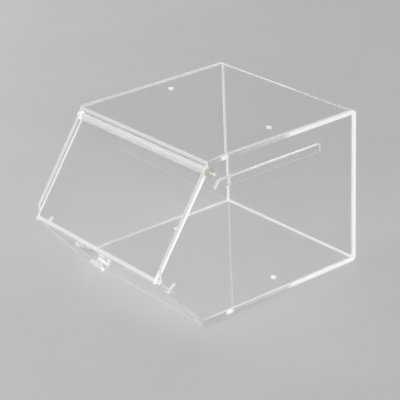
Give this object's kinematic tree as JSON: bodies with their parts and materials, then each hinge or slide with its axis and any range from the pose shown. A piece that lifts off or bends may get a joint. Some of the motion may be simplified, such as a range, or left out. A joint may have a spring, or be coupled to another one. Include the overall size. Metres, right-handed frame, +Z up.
{
  "type": "acrylic box",
  "caption": "Clear acrylic countertop bin with a slanted front flap that lifts on a hinge rod, a blunt nose, a strip on its side and stacking holes.",
  "frame": {"origin": "middle of the flat underside of the base, half way between the back and the fold of the lower front", "axes": "+Z up; the flap and the nose face -Y; +X is the object's side with the strip and the rod's capped end, which is on the right when it is seen from the front"},
  "size_m": [0.2095, 0.2511, 0.162],
  "materials": {
    "clear_sheet": "polished clear acrylic with sawn and polished white edges",
    "clear_flap": "polished clear acrylic",
    "clear_rod": "clear extruded acrylic",
    "clear_knob": "clear moulded acrylic",
    "cream_nylon": "satin nylon",
    "screw_steel": "plain zinc-plated steel"
  },
  "bodies": {
    "case": {"bent_body": "clear_sheet", "left_side": "clear_sheet", "right_side": "clear_sheet", "side_strip": "clear_sheet", "hinge_rod": "clear_rod", "rod_cap": "cream_nylon"},
    "flap": {"flap": "clear_flap", "hinge_tube": "clear_rod", "knob": "clear_knob", "knob_screw": "screw_steel"}
  },
  "joints": [
    {"name": "flap_hinge", "type": "hinge", "parent": "case", "child": "flap", "pos_m": [0, -0.085, 0.1515], "axis": [-1, 0, 0], "range_deg": [0, 118]}
  ]
}
